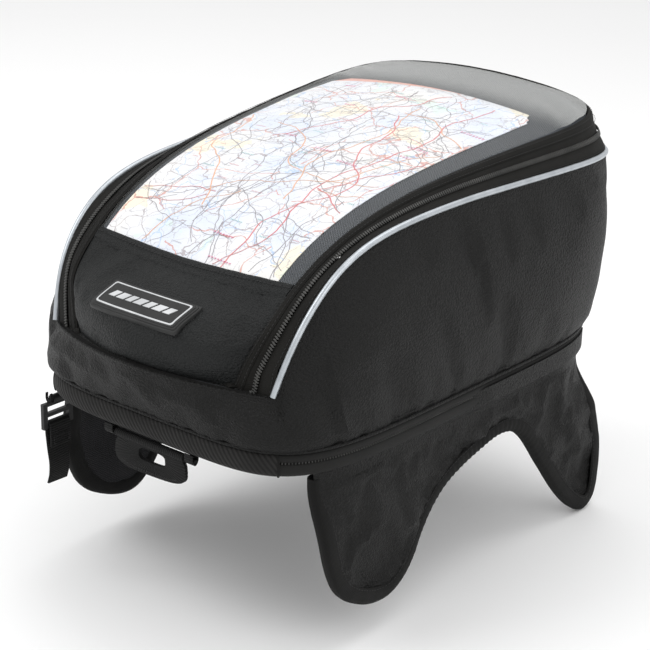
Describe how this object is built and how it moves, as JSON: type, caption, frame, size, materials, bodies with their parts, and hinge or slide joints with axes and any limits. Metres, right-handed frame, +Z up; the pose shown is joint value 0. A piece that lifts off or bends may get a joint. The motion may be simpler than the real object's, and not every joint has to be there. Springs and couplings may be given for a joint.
{
  "type": "motorcycle tank bag",
  "caption": "Tapered padded tank bag with a zip-round map-pocket lid, padded base, magnetic saddle flaps, front webbing loop and side strap.",
  "frame": {"origin": "middle of the flat underside of the base, where the bag rests on the fuel tank", "axes": "+Z up, +Y towards the tall end at the steering head, -Y towards the rider and the badge, +X to the bag's right seen by the rider"},
  "size_m": [0.271, 0.4145, 0.3306],
  "materials": {
    "leather_look": "satin grained vinyl",
    "foam": "matte closed-cell foam",
    "lining": "plain woven nylon",
    "board": "matte polyethylene board",
    "webbing": "ribbed black webbing",
    "black_tape": "fine woven black tape",
    "zip_coil": "moulded nylon coil",
    "grip_fabric": "soft non-slip fabric",
    "reflective": "silver reflective piping",
    "ribbed_backing": "ribbed blue-grey nylon",
    "map_paper": "printed paper",
    "clear_window": "clear flexible vinyl",
    "badge_rubber": "matte moulded rubber",
    "badge_silver": "silver print",
    "slider_metal": "black painted zinc",
    "moulded_plastic": "moulded acetal",
    "magnet_steel": "nickel-plated magnet"
  },
  "bodies": {
    "bag": {"outer_wall": "leather_look", "foam_board_front": "foam", "foam_board_right": "foam", "foam_board_rear": "foam", "foam_board_left": "foam", "wall_lining": "lining", "floor_board": "board", "hem_welt": "leather_look", "base_band_front": "webbing", "base_band_sides": "black_tape", "base_zip_coil": "zip_coil", "base_core": "foam", "base_pan": "board", "base_grip_pad": "grip_fabric", "crease_welt": "leather_look", "reflective_piping": "reflective", "zip_tape_lower": "black_tape", "zip_coil_lower": "zip_coil", "flap_seam_right": "black_tape", "flap_seam_left": "black_tape", "loop_anchor": "webbing", "buckle_tab": "webbing"},
    "lid": {"lid_stiffener": "foam", "lid_lining": "lining", "lid_front_panel": "leather_look", "lid_edge_band": "black_tape", "zip_tape_upper": "black_tape", "zip_coil_upper": "zip_coil", "window_backing": "ribbed_backing", "map_sheet": "map_paper", "map_window": "clear_window", "window_seam_tape": "leather_look", "badge_base": "badge_rubber", "badge_frame": "badge_silver", "badge_emblem": "badge_silver"},
    "slider_r": {"slider_right": "slider_metal"},
    "slider_l": {"slider_left": "slider_metal"},
    "pull_r": {"pull_right": "moulded_plastic"},
    "pull_l": {"pull_left": "moulded_plastic"},
    "flap_r": {"flap_cover_right": "leather_look", "flap_core_right": "foam", "flap_lining_right": "grip_fabric", "flap_binding_right": "black_tape", "flap_magnets_right": "magnet_steel"},
    "flap_l": {"flap_cover_left": "leather_look", "flap_core_left": "foam", "flap_lining_left": "grip_fabric", "flap_binding_left": "black_tape", "flap_magnets_left": "magnet_steel"},
    "front_loop": {"carry_loop": "webbing"},
    "strap_lock": {"ladder_lock": "moulded_plastic"},
    "strap_end": {"tail_strap": "webbing"}
  },
  "joints": [
    {"name": "lid_hinge", "type": "hinge", "parent": "bag", "child": "lid", "pos_m": [0, -0.2125, 0.0655], "axis": [1, 0, 0], "range_deg": [0, 110]},
    {"name": "slider_right_travel", "type": "slide", "parent": "lid", "child": "slider_r", "axis": [1, 0, 0], "range_m": [0, 0.04]},
    {"name": "slider_left_travel", "type": "slide", "parent": "lid", "child": "slider_l", "axis": [-1, 0, 0], "range_m": [0, 0.04]},
    {"name": "pull_right_swing", "type": "hinge", "parent": "slider_r", "child": "pull_r", "pos_m": [0.012, 0.1975, 0.17651], "axis": [1, 0, 0], "range_deg": [0, 120]},
    {"name": "pull_left_swing", "type": "hinge", "parent": "slider_l", "child": "pull_l", "pos_m": [-0.012, 0.1975, 0.17651], "axis": [1, 0, 0], "range_deg": [0, 120]},
    {"name": "flap_right_fold", "type": "hinge", "parent": "bag", "child": "flap_r", "pos_m": [0.123, 0, -0.004], "axis": [0, -1, 0], "range_deg": [-45, 80]},
    {"name": "flap_left_fold", "type": "hinge", "parent": "bag", "child": "flap_l", "pos_m": [-0.123, 0, -0.004], "axis": [0, 1, 0], "range_deg": [-45, 80]},
    {"name": "front_loop_swing", "type": "hinge", "parent": "bag", "child": "front_loop", "pos_m": [0, -0.184, -0.0045], "axis": [1, 0, 0], "range_deg": [-85, 60]},
    {"name": "strap_lock_swing", "type": "hinge", "parent": "bag", "child": "strap_lock", "pos_m": [-0.109, -0.172, -0.0045], "axis": [0, 1, 0], "range_deg": [-30, 80]},
    {"name": "strap_end_swing", "type": "hinge", "parent": "strap_lock", "child": "strap_end", "pos_m": [-0.109, -0.172, -0.024], "axis": [0, 1, 0], "range_deg": [-60, 90]}
  ]
}
